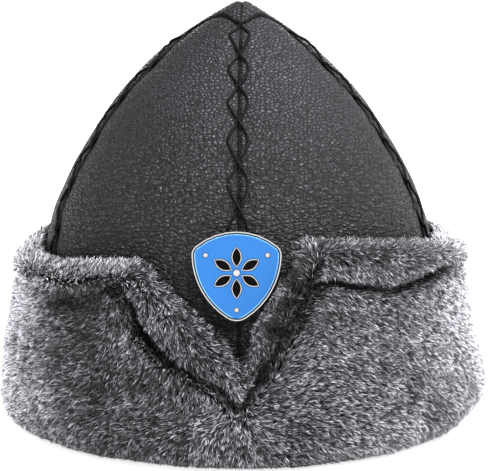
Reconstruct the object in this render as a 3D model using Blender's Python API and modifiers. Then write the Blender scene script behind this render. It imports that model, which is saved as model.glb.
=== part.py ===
# A bork hat in metres, +Z up, with its front towards -Y: a pointed crown of four leather gores, a turned-up
# fur cuff that opens in a V at the front, and an enamelled metal badge on the front seam. The hat rests on
# its cuff, and the origin is the centre of the floor that it covers.

import math
from collections import namedtuple

import bmesh
import bpy
import numpy
from mathutils import Vector

# Clearance between two pieces that touch on the real hat.
TOUCH_GAP = 0.0003

# Edges sharper than this stay crisp, and points closer than this are welded.
SHARP_ANGLE = math.radians(40)
WELD_DISTANCE = 0.000001

# The crown. Its four gores meet at an apex that lies a little in front of the highest point.
LEATHER = 0.0022
SEAM_GAP = 0.0004
APEX_SHIFT = 0.0118
APEX_FADE = 0.0150
APEX_OPENING = 0.0008
PUFF_POWER = 5
CROWN_SHIFT_X = -0.002
GORE_COLUMNS = 12
GORE_ROWS = 15
TIP_CROWDING = 1.6
HEIGHT_SAMPLES = 400
NORMAL_STEP = 0.0005
NORMAL_TURN = math.radians(0.5)

# Above this height the soft tip nods: it leans towards the front by this much, and a little to the side.
NOD_START = 0.1150
NOD_REACH = 0.0080
NOD_POWER = 3
NOD_SIDEWAYS = 0.0014
NOD_SIDEWAYS_POWER = 6

# Half sizes of the crown at each height, without the gores' puff.
CrownSection = namedtuple("CrownSection", "height half_width half_depth")
CROWN_SECTIONS = (
    CrownSection(0.0042, 0.0930, 0.0990),
    CrownSection(0.0400, 0.0934, 0.0994),
    CrownSection(0.0720, 0.0925, 0.0985),
    CrownSection(0.0900, 0.0902, 0.0961),
    CrownSection(0.1100, 0.0834, 0.0891),
    CrownSection(0.1320, 0.0711, 0.0765),
    CrownSection(0.1540, 0.0553, 0.0602),
    CrownSection(0.1720, 0.0372, 0.0410),
    CrownSection(0.1840, 0.0212, 0.0235),
    CrownSection(0.1906, 0.0122, 0.0136),
    CrownSection(0.1948, 0.0068, 0.0075),
    CrownSection(0.1973, 0.0034, 0.0038),
    CrownSection(0.1983, 0.0014, 0.0016),
    CrownSection(0.1985, 0.0003, 0.0003),
)

# At each distance from the apex: where the right and left seams stand, in degrees from the front seam, and how
# far a gore puffs out between two seams.
GoreStation = namedtuple("GoreStation", "distance right_seam left_seam puff")
GORE_STATIONS = (
    GoreStation(0.000, 104.0, 104.0, 0.0000),
    GoreStation(0.006, 113.0, 113.0, 0.0006),
    GoreStation(0.015, 112.0, 112.0, 0.0015),
    GoreStation(0.025, 104.0, 104.0, 0.0020),
    GoreStation(0.035, 93.0, 93.0, 0.0021),
    GoreStation(0.045, 86.0, 86.0, 0.0021),
    GoreStation(0.055, 83.0, 83.0, 0.0021),
    GoreStation(0.070, 81.5, 81.5, 0.0020),
    GoreStation(0.085, 79.5, 79.5, 0.0020),
    GoreStation(0.100, 77.5, 76.5, 0.0019),
    GoreStation(0.124, 76.5, 74.0, 0.0017),
    GoreStation(0.145, 76.5, 71.5, 0.0015),
    GoreStation(0.163, 76.5, 70.5, 0.0012),
    GoreStation(0.195, 76.5, 70.0, 0.0008),
    GoreStation(0.231, 76.5, 70.0, 0.0003),
)
GORE_DISTANCES = [station.distance for station in GORE_STATIONS]

# The fur cuff. Its inner wall follows the crown, and its lower fold passes under the crown's leather edge.
CUFF_COLUMNS = 96
CUFF_FRONT_CROWDING = 0.30
CUFF_BAND_ROWS = 11
CUFF_INNER_ROWS = 4
INNER_CROWDING = 1.6
SHELF_HEIGHT = CROWN_SECTIONS[0].height - TOUCH_GAP
LIP_REACH = 0.0036
LIP_ROUNDING = 0.0016
INNER_CLEARANCE = 0.0005
EDGE_THICKNESS = 0.0020
ROLL_RADIUS = 0.0085
CREASE_DISTANCE = 0.0195
CREASE_HALF_WIDTH = 0.0034
ROLL_SWELL = 0.0016

# Outer half sizes of the cuff at each height. The soft fur spreads a little more on the left.
CuffSection = namedtuple("CuffSection", "height half_left half_right half_depth")
CUFF_SECTIONS = (
    CuffSection(0.000, 0.1105, 0.1045, 0.1118),
    CuffSection(0.003, 0.1146, 0.1102, 0.1168),
    CuffSection(0.007, 0.1166, 0.1142, 0.1205),
    CuffSection(0.014, 0.1174, 0.1170, 0.1226),
    CuffSection(0.022, 0.1174, 0.1170, 0.1223),
    CuffSection(0.034, 0.1160, 0.1142, 0.1198),
    CuffSection(0.050, 0.1130, 0.1108, 0.1168),
    CuffSection(0.066, 0.1106, 0.1084, 0.1146),
    CuffSection(0.110, 0.1076, 0.1064, 0.1132),
)

# Distances from the upper edge to the rows of the roll and the crease below it.
ROLL_ROWS = (0.0000, 0.0010, 0.0030, 0.0060, 0.0100, 0.0140, 0.0170, 0.0195, 0.0220, 0.0255)

# The cuff's upper edge away from the V, and how deep the sewn crease below it sinks. The azimuth is in
# degrees from the front seam, positive towards +X.
EdgeStation = namedtuple("EdgeStation", "azimuth height crease")
EDGE_STATIONS = (
    EdgeStation(-180.0, 0.0845, 0.0030),
    EdgeStation(-120.0, 0.0825, 0.0030),
    EdgeStation(-85.0, 0.0810, 0.0024),
    EdgeStation(-62.0, 0.0832, 0.0030),
    EdgeStation(-36.0, 0.0900, 0.0050),
    EdgeStation(-15.0, 0.0960, 0.0062),
    EdgeStation(8.0, 0.1020, 0.0054),
    EdgeStation(22.0, 0.1015, 0.0048),
    EdgeStation(50.0, 0.0960, 0.0048),
    EdgeStation(78.0, 0.0876, 0.0042),
    EdgeStation(105.0, 0.0840, 0.0030),
    EdgeStation(180.0, 0.0845, 0.0030),
)
EDGE_SAMPLES = 720
BISECTIONS = 18
STEEPEST_DROP = 4
CUFF_MEAN_RADIUS = 0.100

# The V at the front: the height of its bottom, how fast its two sides rise per degree of azimuth, and how much
# higher the left side lies.
V_BOTTOM_HEIGHT = 0.0460
V_LEFT_RISE = 0.00160
V_LEFT_LIFT = 0.0026
V_RIGHT_RISE = 0.00335
V_ROUNDING = 0.0030

# Locks of fur: shingled rows that thicken towards their tips.
LOCKS_ROUND = 30
LOCK_LENGTH = 0.0165
LOCK_DEPTH = 0.0024
LOCK_SWEEP = 0.35

# The badge: a rounded triangle with a raised rim, and a rosette whose hollow petals have standing walls. Its
# middle lies a little to the left of the front seam.
BADGE_HEIGHT = 0.0852
BADGE_ASIDE = -0.0009
BADGE_TILT = math.radians(9.0)
BADGE_THICKNESS = 0.0026
BADGE_FLOOR = 0.0014
RIM_WIDTH = 0.0005
RIM_GAP = 0.0006
ENAMEL_BELOW_RIM = 0.0002
BADGE_PROBES = 8
CORNER_ARC_STEPS = 6
SIDE_ARC_STEPS = 8

# Rounded corners of the badge, counter-clockwise, each with the radius of the long arc to the next one.
BadgeCorner = namedtuple("BadgeCorner", "x y radius next_arc_radius")
BADGE_CORNERS = (
    BadgeCorner(0.0148, 0.0094, 0.0052, 0.0285),
    BadgeCorner(-0.0148, 0.0094, 0.0052, 0.0340),
    BadgeCorner(0.0, -0.0121, 0.0078, 0.0340),
)
PETAL_COUNT = 6
PETAL_INNER_TIP = 0.0029
PETAL_OUTER_TIP = 0.0112
PETAL_HALF_WIDTH = 0.0019
PETAL_SIDE_STEPS = 6
PETAL_WALL = 0.0004
ROSETTE_CENTRE_Y = 0.0015
DOT_SIDES = 10

# Round metal dots in the enamel: one in the rosette's middle, and one towards each corner of the badge.
Dot = namedtuple("Dot", "x y radius")
DOTS = (
    Dot(0.0, ROSETTE_CENTRE_Y, 0.0015),
    Dot(0.0138, 0.0094, 0.0010),
    Dot(-0.0138, 0.0094, 0.0010),
    Dot(0.0, -0.0150, 0.0010),
)

# The post that holds the badge: its shaft passes beside the front seam and its head lies inside the crown.
POST_RADIUS = 0.0013
POST_HEAD_RADIUS = 0.0050
POST_HEAD_THICKNESS = 0.0010
POST_HEAD_CLEARANCE = 0.0009
POST_SIDES = 16

# Principled BSDF values: colour, roughness, metallic.
Finish = namedtuple("Finish", "colour roughness metallic")
FINISHES = {
    "black_leather": Finish((0.050, 0.050, 0.056), 0.50, 0.0),
    "grey_fur": Finish((0.115, 0.113, 0.120), 0.90, 0.0),
    "nickel": Finish((0.620, 0.620, 0.630), 0.22, 1.0),
    "blue_enamel": Finish((0.045, 0.235, 0.660), 0.12, 0.0),
}


def clear_scene():
    for obj in list(bpy.data.objects):
        bpy.data.objects.remove(obj, do_unlink=True)


def new_collection(name):
    collection = bpy.data.collections.new(name)
    bpy.context.scene.collection.children.link(collection)
    return collection


def material(name):
    made = bpy.data.materials.get(name)
    if made:
        return made
    finish = FINISHES[name]
    made = bpy.data.materials.new(name)
    made.use_nodes = True
    shader = made.node_tree.nodes["Principled BSDF"]
    shader.inputs["Base Color"].default_value = (*finish.colour, 1.0)
    shader.inputs["Roughness"].default_value = finish.roughness
    shader.inputs["Metallic"].default_value = finish.metallic
    return made


def object_from(bm, name, finish, collection):
    mesh = bpy.data.meshes.new(name)
    bm.to_mesh(mesh)
    bm.free()
    made = bpy.data.objects.new(name, mesh)
    collection.objects.link(made)
    mesh.materials.append(material(finish))
    mesh.shade_smooth()
    mesh.set_sharp_from_angle(angle=SHARP_ANGLE)
    return made


def hermite(left, right, slope_left, slope_right, share):
    """A cubic from left to right with these slopes, which are per unit of share."""
    s2, s3 = share * share, share * share * share
    return (
        left * (2 * s3 - 3 * s2 + 1)
        + slope_left * (s3 - 2 * s2 + share)
        + right * (3 * s2 - 2 * s3)
        + slope_right * (s3 - s2)
    )


def slope_at(rows, stations, k, column):
    """Rise of one column per unit of the stations, at row k."""
    before, after = max(k - 1, 0), min(k + 1, len(rows) - 1)
    return (rows[after][column] - rows[before][column]) / (stations[after] - stations[before])


def row_at(rows, stations, place):
    """A row of the table at this place along its stations, smooth from row to row."""
    place = min(max(place, stations[0]), stations[-1])
    i = max(k for k in range(len(rows) - 1) if stations[k] <= place)
    span = stations[i + 1] - stations[i]
    share = (place - stations[i]) / span
    values = []
    for column in range(len(rows[0])):
        slope_left = slope_at(rows, stations, i, column) * span
        slope_right = slope_at(rows, stations, i + 1, column) * span
        values.append(hermite(rows[i][column], rows[i + 1][column], slope_left, slope_right, share))
    return type(rows[0])(*values)


def travel_stations(rows):
    """Distance along the crown's profile from its lower edge to each row."""
    stations = [0.0]
    for below, above in zip(rows, rows[1:]):
        step = math.hypot(above.height - below.height, above.half_width - below.half_width)
        stations.append(stations[-1] + step)
    return stations


CROWN_TRAVEL = travel_stations(CROWN_SECTIONS)
CROWN_LENGTH = CROWN_TRAVEL[-1]
CROWN_TOP = CROWN_SECTIONS[-1].height


def crown_base_point(azimuth, travel):
    """A point of the crown without its puff or nod."""
    section = row_at(CROWN_SECTIONS, CROWN_TRAVEL, travel)
    return Vector((
        section.half_width * math.sin(azimuth),
        -section.half_depth * math.cos(azimuth),
        section.height,
    ))


def crown_normal(azimuth, travel):
    low, high = max(travel - NORMAL_STEP, 0.0), min(travel + NORMAL_STEP, CROWN_LENGTH)
    upward = crown_base_point(azimuth, high) - crown_base_point(azimuth, low)
    before, after = azimuth - NORMAL_TURN, azimuth + NORMAL_TURN
    sideways = crown_base_point(after, travel) - crown_base_point(before, travel)
    return sideways.cross(upward).normalized()


def gore_station(distance):
    return row_at(GORE_STATIONS, GORE_DISTANCES, distance)


def seam_azimuths(distance):
    """Azimuths of the front, right, back and left seams and of the front seam again, round the apex."""
    station = gore_station(distance)
    right, left = math.radians(station.right_seam), math.radians(station.left_seam)
    return 0.0, right, math.pi, 2 * math.pi - left, 2 * math.pi


def crown_puff(azimuth, distance):
    turn = azimuth % (2 * math.pi)
    seams = seam_azimuths(distance)
    first = max(k for k in range(len(seams) - 1) if seams[k] <= turn)
    across = 2 * (turn - seams[first]) / (seams[first + 1] - seams[first]) - 1
    return gore_station(distance).puff * (1 - abs(across) ** PUFF_POWER)


def profile_place(azimuth, distance):
    """Azimuth and profile travel round the highest point, from the same round the apex."""
    shift = APEX_SHIFT * math.exp(-((distance / APEX_FADE) ** 2))
    aside = distance * math.sin(azimuth)
    ahead = distance * math.cos(azimuth) + shift
    return math.atan2(aside, ahead), CROWN_LENGTH - math.hypot(aside, ahead)


def nodded(point):
    """The soft tip leans towards the front, and its top tilts with it."""
    nod_height = CROWN_TOP - NOD_START
    share = max(point.z - NOD_START, 0.0) / nod_height
    lean = NOD_REACH * share ** NOD_POWER
    tilt = NOD_POWER * NOD_REACH * share ** (NOD_POWER - 1) / nod_height
    sideways = NOD_SIDEWAYS * share ** NOD_SIDEWAYS_POWER
    return Vector((point.x + sideways, point.y - lean, point.z + point.y * tilt))


def crown_point(azimuth, distance, set_off=0.0):
    """A point set off from the crown's outer face, by its azimuth and distance from the apex."""
    place = profile_place(azimuth, distance)
    raised = crown_normal(*place) * (crown_puff(azimuth, distance) + set_off)
    return nodded(crown_base_point(*place) + raised) + Vector((CROWN_SHIFT_X, 0, 0))


TRAVEL_SAMPLES = [CROWN_LENGTH * k / HEIGHT_SAMPLES for k in range(HEIGHT_SAMPLES + 1)]
HEIGHTS_BY_TRAVEL = [row_at(CROWN_SECTIONS, CROWN_TRAVEL, travel).height for travel in TRAVEL_SAMPLES]


def crown_distance_at(height):
    return CROWN_LENGTH - float(numpy.interp(height, HEIGHTS_BY_TRAVEL, TRAVEL_SAMPLES))


def seam_inset(azimuth, distance):
    """Half the gap at a seam, as a turn round the apex."""
    step = crown_point(azimuth + NORMAL_TURN, distance) - crown_point(azimuth, distance)
    return SEAM_GAP / 2 * NORMAL_TURN / step.length


def make_gore(name, first_seam, collection):
    """One leather gore from a seam to the next: a grid laid on the crown, given its thickness inwards."""
    bm = bmesh.new()
    bmesh.ops.create_grid(bm, x_segments=GORE_COLUMNS, y_segments=GORE_ROWS, size=0.5)
    for vertex in bm.verts:
        across, up = vertex.co.x + 0.5, vertex.co.y + 0.5
        distance = APEX_OPENING + (CROWN_LENGTH - APEX_OPENING) * (1 - up) ** TIP_CROWDING
        seams = seam_azimuths(distance)
        start = seams[first_seam] + seam_inset(seams[first_seam], distance)
        end = seams[first_seam + 1] - seam_inset(seams[first_seam + 1], distance)
        vertex.co = crown_point(start + across * (end - start), distance)
    bmesh.ops.recalc_face_normals(bm, faces=bm.faces)
    gore = object_from(bm, name, "black_leather", collection)
    wall = gore.modifiers.new("leather", "SOLIDIFY")
    wall.thickness = LEATHER
    wall.offset = -1
    return gore


def soft_least(a, b, rounding):
    """The lesser of two values, rounded where they cross."""
    return (a + b - math.sqrt((a - b) ** 2 + rounding ** 2)) / 2


def soft_most(a, b, rounding):
    return -soft_least(-a, -b, rounding)


EDGE_AZIMUTHS = [station.azimuth for station in EDGE_STATIONS]


def edge_height(degrees):
    """Height of the cuff's upper edge at an azimuth from -180 to 180 degrees."""
    level = row_at(EDGE_STATIONS, EDGE_AZIMUTHS, degrees).height
    left = V_BOTTOM_HEIGHT + V_LEFT_LIFT - degrees * V_LEFT_RISE
    right = V_BOTTOM_HEIGHT + degrees * V_RIGHT_RISE
    return soft_least(level, soft_most(left, right, V_ROUNDING), V_ROUNDING)


def edge_line():
    """The upper edge laid flat: distance round the cuff, and height."""
    degrees = [-180 + 360 * i / EDGE_SAMPLES for i in range(EDGE_SAMPLES + 1)]
    along = numpy.radians(degrees) * CUFF_MEAN_RADIUS
    return along, numpy.array([edge_height(degree) for degree in degrees])


EDGE_ALONG, EDGE_HEIGHTS = edge_line()


def edge_distance(azimuth, height):
    """Distance on the laid-flat cuff from a point to the upper edge."""
    along = azimuth * CUFF_MEAN_RADIUS
    return float(numpy.min(numpy.hypot(EDGE_ALONG - along, EDGE_HEIGHTS - height)))


def height_at_distance(azimuth, distance):
    """Height straight below the upper edge that lies at this distance from it."""
    high = edge_height(math.degrees(azimuth))
    low = high - STEEPEST_DROP * distance
    for _ in range(BISECTIONS):
        middle = (low + high) / 2
        if edge_distance(azimuth, middle) < distance:
            high = middle
        else:
            low = middle
    return high


def lock_relief(azimuth, height):
    """How far a lock of fur stands out here. A row of locks is shifted by half a lock from the next."""
    down = -height / LOCK_LENGTH
    row = math.floor(down)
    along = azimuth / (2 * math.pi) * LOCKS_ROUND + 0.5 * (row % 2) + LOCK_SWEEP * (down - row)
    across = 2 * (along % 1.0) - 1
    return LOCK_DEPTH * (down - row) * (1 - across * across)


CUFF_HEIGHTS = [section.height for section in CUFF_SECTIONS]


def cuff_inner_point(azimuth, height):
    return crown_point(azimuth, crown_distance_at(height), INNER_CLEARANCE)


def cuff_full_point(azimuth, height):
    """A point of the cuff's full section, before its edge, crease and locks are shaped."""
    section = row_at(CUFF_SECTIONS, CUFF_HEIGHTS, height)
    sine = math.sin(azimuth)
    half_width = section.half_right if sine > 0 else section.half_left
    return Vector((half_width * sine, -section.half_depth * math.cos(azimuth), height))


def cuff_outer_point(azimuth, height, distance):
    """A point of the cuff's outer face: rounded at the upper edge, creased below the roll, with its locks."""
    full = cuff_full_point(azimuth, height)
    inner = cuff_inner_point(azimuth, height)
    inner.z = height
    outward = full - inner
    thickness = outward.length
    outward.normalize()
    near = 1 - min(distance / ROLL_RADIUS, 1.0)
    roundness = math.sqrt(1 - near * near)
    crease_depth = row_at(EDGE_STATIONS, EDGE_AZIMUTHS, math.degrees(azimuth)).crease
    crease = crease_depth * math.exp(-(((distance - CREASE_DISTANCE) / CREASE_HALF_WIDTH) ** 2))
    swell = ROLL_SWELL * math.exp(-(((distance - ROLL_RADIUS) / ROLL_RADIUS) ** 2))
    lock_share = min(distance / ROLL_RADIUS, 1.0) * min(height / LOCK_LENGTH, 1.0)
    relief = (lock_relief(azimuth, height) - LOCK_DEPTH / 2) * lock_share
    stand_off = EDGE_THICKNESS + (thickness - EDGE_THICKNESS) * roundness + swell - crease + relief
    return inner + outward * stand_off


def cuff_section(azimuth):
    """One closed section through the cuff: the lip, the floor, up the outer face and down the inner wall."""
    leather_edge = crown_point(azimuth, CROWN_LENGTH)
    outward = crown_normal(azimuth, 0.0)
    outward.z = 0
    outward.normalize()

    def from_leather(reach, height):
        point = leather_edge + outward * reach
        point.z = height
        return point

    points = [
        from_leather(-LIP_REACH + LIP_ROUNDING / 2, SHELF_HEIGHT),
        from_leather(-LIP_REACH, SHELF_HEIGHT / 2),
        from_leather(-LIP_REACH + LIP_ROUNDING, 0.0),
        cuff_full_point(azimuth, 0.0),
    ]
    top = edge_height(math.degrees(azimuth))
    lowest = CUFF_SECTIONS[1].height
    band_top = height_at_distance(azimuth, ROLL_ROWS[-1])
    heights = [lowest + (band_top - lowest) * row / CUFF_BAND_ROWS for row in range(CUFF_BAND_ROWS)]
    heights += [height_at_distance(azimuth, distance) for distance in reversed(ROLL_ROWS)]
    for height in heights:
        points.append(cuff_outer_point(azimuth, height, edge_distance(azimuth, height)))
    for row in range(CUFF_INNER_ROWS + 1):
        share = (row / CUFF_INNER_ROWS) ** INNER_CROWDING
        height = top - EDGE_THICKNESS - (top - EDGE_THICKNESS - SHELF_HEIGHT) * share
        inner = cuff_inner_point(azimuth, height)
        inner.z = height
        points.append(inner)
    return points


def make_cuff(collection):
    """The fur cuff: a loft through sections that change all the way round, closed on itself."""
    bm = bmesh.new()
    rings = []
    for column in range(CUFF_COLUMNS):
        turn = -math.pi + 2 * math.pi * (column + 0.5) / CUFF_COLUMNS
        azimuth = turn - CUFF_FRONT_CROWDING * math.sin(turn)
        rings.append([bm.verts.new(point) for point in cuff_section(azimuth)])
    for ring, following in zip(rings, rings[1:] + rings[:1]):
        for k in range(len(ring)):
            after = (k + 1) % len(ring)
            bm.faces.new((ring[k], ring[after], following[after], following[k]))
    bmesh.ops.recalc_face_normals(bm, faces=bm.faces)
    return object_from(bm, "fur_cuff", "grey_fur", collection)


def arc_points(centre, radius, start, end, steps):
    """Points along an arc, the last one left out."""
    made = []
    for i in range(steps):
        angle = start + (end - start) * i / steps
        made.append(centre + radius * Vector((math.cos(angle), math.sin(angle))))
    return made


def long_arc_centre(corner, following, radius):
    """Centre of the arc that holds both rounded corners inside it and touches each."""
    a, b = Vector((corner.x, corner.y)), Vector((following.x, following.y))
    reach_a, reach_b = radius - corner.radius, radius - following.radius
    apart = (b - a).length
    along = (apart ** 2 + reach_a ** 2 - reach_b ** 2) / (2 * apart)
    across = math.sqrt(reach_a ** 2 - along ** 2)
    direction = (b - a).normalized()
    inward = Vector((-direction.y, direction.x))
    return a + direction * along + inward * across


def badge_outline(inset=0.0):
    """The badge's outline, counter-clockwise, moved inwards by inset."""
    corners = len(BADGE_CORNERS)
    centres = []
    for i, corner in enumerate(BADGE_CORNERS):
        following = BADGE_CORNERS[(i + 1) % corners]
        centres.append(long_arc_centre(corner, following, corner.next_arc_radius))
    points = []
    for i, corner in enumerate(BADGE_CORNERS):
        middle = Vector((corner.x, corner.y))
        following = BADGE_CORNERS[(i + 1) % corners]
        arriving = middle - centres[i - 1]
        leaving = middle - centres[i]
        landing = Vector((following.x, following.y)) - centres[i]
        start = math.atan2(arriving.y, arriving.x)
        turn = (math.atan2(leaving.y, leaving.x) - start) % (2 * math.pi)
        points += arc_points(middle, corner.radius - inset, start, start + turn, CORNER_ARC_STEPS)
        start = math.atan2(leaving.y, leaving.x)
        turn = (math.atan2(landing.y, landing.x) - start) % (2 * math.pi)
        points += arc_points(centres[i], corner.next_arc_radius - inset, start, start + turn, SIDE_ARC_STEPS)
    return points


def petal_outline(turn, grown):
    """A petal pointed at both ends: two arcs between its tips, grown outwards."""
    middle = (PETAL_INNER_TIP + PETAL_OUTER_TIP) / 2
    half_length = (PETAL_OUTER_TIP - PETAL_INNER_TIP) / 2 + grown
    half_width = PETAL_HALF_WIDTH + grown
    direction = Vector((math.cos(turn), math.sin(turn)))
    sideways = Vector((-direction.y, direction.x))
    centre = Vector((0, ROSETTE_CENTRE_Y)) + direction * middle
    points = []
    for side in (1, -1):
        for i in range(PETAL_SIDE_STEPS):
            share = side * (1 - 2 * i / PETAL_SIDE_STEPS)
            bulge = side * half_width * (1 - share ** 2)
            points.append(centre + direction * half_length * share + sideways * bulge)
    return points


def petal_outlines(grown):
    turns = [math.pi / 2 + 2 * math.pi * petal / PETAL_COUNT for petal in range(PETAL_COUNT)]
    return [petal_outline(turn, grown) for turn in turns]


def dot_outlines(grown):
    full_turn = 2 * math.pi
    return [arc_points(Vector((dot.x, dot.y)), dot.radius + grown, 0, full_turn, DOT_SIDES) for dot in DOTS]


def prism(name, outline, low, high, collection, parent=None):
    """A flat curve of this outline, extruded from low to high and made a mesh."""
    curve = bpy.data.curves.new(name, "CURVE")
    curve.dimensions = "2D"
    curve.fill_mode = "BOTH"
    curve.extrude = (high - low) / 2
    spline = curve.splines.new("POLY")
    spline.points.add(len(outline) - 1)
    for spline_point, place in zip(spline.points, outline):
        spline_point.co = (place.x, place.y, 0, 1)
    spline.use_cyclic_u = True
    drawn = bpy.data.objects.new(name + "_curve", curve)
    collection.objects.link(drawn)
    bpy.context.view_layer.update()
    mesh = bpy.data.meshes.new_from_object(drawn.evaluated_get(bpy.context.evaluated_depsgraph_get()))
    bpy.data.objects.remove(drawn)
    bm = bmesh.new()
    bm.from_mesh(mesh)
    bmesh.ops.remove_doubles(bm, verts=bm.verts, dist=WELD_DISTANCE)
    bmesh.ops.translate(bm, verts=bm.verts, vec=(0, 0, (high + low) / 2))
    bmesh.ops.recalc_face_normals(bm, faces=bm.faces)
    bm.to_mesh(mesh)
    bm.free()
    made = bpy.data.objects.new(name, mesh)
    collection.objects.link(made)
    made.parent = parent
    return made


def cut(target, cutter):
    boolean = target.modifiers.new(cutter.name, "BOOLEAN")
    boolean.operation = "DIFFERENCE"
    boolean.object = cutter
    cutter.hide_render = True
    cutter.display_type = "WIRE"


def badge_stand_off(foot, normal):
    """How far the badge's back lies from its foot on the seam, to clear the gores that puff out."""
    reach = max(corner.x + corner.radius for corner in BADGE_CORNERS) + abs(BADGE_ASIDE)
    furthest = 0.0
    for i in range(-BADGE_PROBES, BADGE_PROBES + 1):
        for k in range(-BADGE_PROBES, BADGE_PROBES + 1):
            azimuth = math.asin(reach * i / BADGE_PROBES / CROWN_SECTIONS[0].half_width)
            distance = crown_distance_at(BADGE_HEIGHT + reach * k / BADGE_PROBES)
            furthest = max(furthest, normal.dot(crown_point(azimuth, distance) - foot))
    return furthest + TOUCH_GAP


def round_bar(name, radius, low, high, collection, parent):
    bm = bmesh.new()
    depth = high - low
    bmesh.ops.create_cone(bm, cap_ends=True, segments=POST_SIDES, radius1=radius, radius2=radius, depth=depth)
    bmesh.ops.translate(bm, verts=bm.verts, vec=(0, 0, (high + low) / 2))
    mesh = bpy.data.meshes.new(name)
    bm.to_mesh(mesh)
    bm.free()
    made = bpy.data.objects.new(name, mesh)
    collection.objects.link(made)
    made.parent = parent
    return made


def make_post(head_face, seat, collection):
    """A turned post: a shaft behind the badge and a flat head inside the crown."""
    tail = head_face - POST_HEAD_THICKNESS
    profile = (
        (0.0, tail),
        (POST_HEAD_RADIUS, tail),
        (POST_HEAD_RADIUS, head_face),
        (POST_RADIUS, head_face),
        (POST_RADIUS, -TOUCH_GAP),
        (0.0, -TOUCH_GAP),
    )
    bm = bmesh.new()
    corners = [bm.verts.new((radius, 0, height)) for radius, height in profile]
    for corner, following in zip(corners, corners[1:]):
        bm.edges.new((corner, following))
    post = object_from(bm, "badge_post", "nickel", collection)
    post.parent = seat
    turned = post.modifiers.new("turned", "SCREW")
    turned.steps = POST_SIDES
    turned.render_steps = POST_SIDES
    turned.use_merge_vertices = True
    turned.merge_threshold = WELD_DISTANCE
    turned.use_normal_calculate = True
    turned.use_normal_flip = True


def make_seat(stand_off, foot, normal, collection):
    """An empty at the middle of the badge's back, with its own Z out of the badge's face."""
    seat = bpy.data.objects.new("badge_seat", None)
    collection.objects.link(seat)
    seat.location = foot + normal * stand_off
    seat.rotation_euler = (math.pi / 2 - BADGE_TILT, 0, 0)
    return seat


def make_plate(seat, collection, cutters):
    """The metal plate: a well inside its rim, where the petals' walls and the dots are left standing."""
    plate = prism("badge_plate", badge_outline(), 0, BADGE_THICKNESS, collection, seat)
    plate.data.materials.append(material("nickel"))
    above = BADGE_THICKNESS * 2
    well = prism("badge_well", badge_outline(RIM_WIDTH), BADGE_FLOOR, above, cutters, seat)
    for i, outline in enumerate(petal_outlines(PETAL_WALL) + dot_outlines(0.0)):
        cut(well, prism(f"standing_metal_{i}", outline, 0, BADGE_THICKNESS, cutters, seat))
    cut(plate, well)
    for i, outline in enumerate(petal_outlines(0.0)):
        cut(plate, prism(f"petal_hollow_{i}", outline, BADGE_FLOOR, above, cutters, seat))


def make_enamel(seat, collection, cutters):
    """The enamel that fills the well round the standing metal, a little below the rim."""
    low = BADGE_FLOOR + TOUCH_GAP
    high = BADGE_THICKNESS - ENAMEL_BELOW_RIM
    enamel = prism("badge_enamel", badge_outline(RIM_WIDTH + RIM_GAP), low, high, collection, seat)
    enamel.data.materials.append(material("blue_enamel"))
    for i, outline in enumerate(petal_outlines(PETAL_WALL + TOUCH_GAP) + dot_outlines(TOUCH_GAP)):
        cut(enamel, prism(f"enamel_gap_{i}", outline, 0, BADGE_THICKNESS * 2, cutters, seat))


def make_badge(collection, cutters, gores):
    """The badge and its post, built face up in their own frame and hung on the seat."""
    normal = Vector((0, -math.cos(BADGE_TILT), math.sin(BADGE_TILT)))
    foot = crown_point(0.0, crown_distance_at(BADGE_HEIGHT)) + Vector((BADGE_ASIDE, 0, 0))
    stand_off = badge_stand_off(foot, normal)
    seat = make_seat(stand_off, foot, normal, collection)
    make_plate(seat, collection, cutters)
    make_enamel(seat, collection, cutters)
    head_face = -stand_off - LEATHER - POST_HEAD_CLEARANCE
    make_post(head_face, seat, collection)
    for gore in gores:
        tail = head_face - POST_HEAD_THICKNESS
        cut(gore, round_bar(f"post_hole_{gore.name}", POST_RADIUS + TOUCH_GAP, tail, 0.0, cutters, seat))


def main():
    clear_scene()
    hat = new_collection("bork_hat")
    cutters = new_collection("cutters")
    gores = {}
    for i, corner in enumerate(("front_right", "back_right", "back_left", "front_left")):
        gores[corner] = make_gore(f"crown_gore_{corner}", i, hat)
    make_cuff(hat)
    make_badge(hat, cutters, (gores["front_right"], gores["front_left"]))


main()
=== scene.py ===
# The render scene of a bork hat: a pointed crown of four laced leather gores, a turned-up fur cuff that opens
# in a V at the front, and an enamelled badge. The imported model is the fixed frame, in metres, front towards -Y.

import math

import bpy
import numpy as np
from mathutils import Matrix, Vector


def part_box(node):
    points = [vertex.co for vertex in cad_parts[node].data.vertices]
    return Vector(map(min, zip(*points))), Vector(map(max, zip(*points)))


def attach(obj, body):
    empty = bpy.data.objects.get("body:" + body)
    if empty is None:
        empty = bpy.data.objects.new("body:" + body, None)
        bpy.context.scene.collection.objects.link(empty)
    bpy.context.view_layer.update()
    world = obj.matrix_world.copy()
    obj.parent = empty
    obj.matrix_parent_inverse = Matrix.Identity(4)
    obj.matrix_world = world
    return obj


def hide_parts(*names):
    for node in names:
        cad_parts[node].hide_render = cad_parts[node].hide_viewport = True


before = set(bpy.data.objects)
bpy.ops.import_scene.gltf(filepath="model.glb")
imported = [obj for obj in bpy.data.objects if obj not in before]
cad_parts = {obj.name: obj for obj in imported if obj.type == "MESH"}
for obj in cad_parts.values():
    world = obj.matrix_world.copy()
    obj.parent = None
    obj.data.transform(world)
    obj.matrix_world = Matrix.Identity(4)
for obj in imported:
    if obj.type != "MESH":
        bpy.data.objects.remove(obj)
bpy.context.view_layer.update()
bpy.ops.object.select_all(action="DESELECT")


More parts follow.
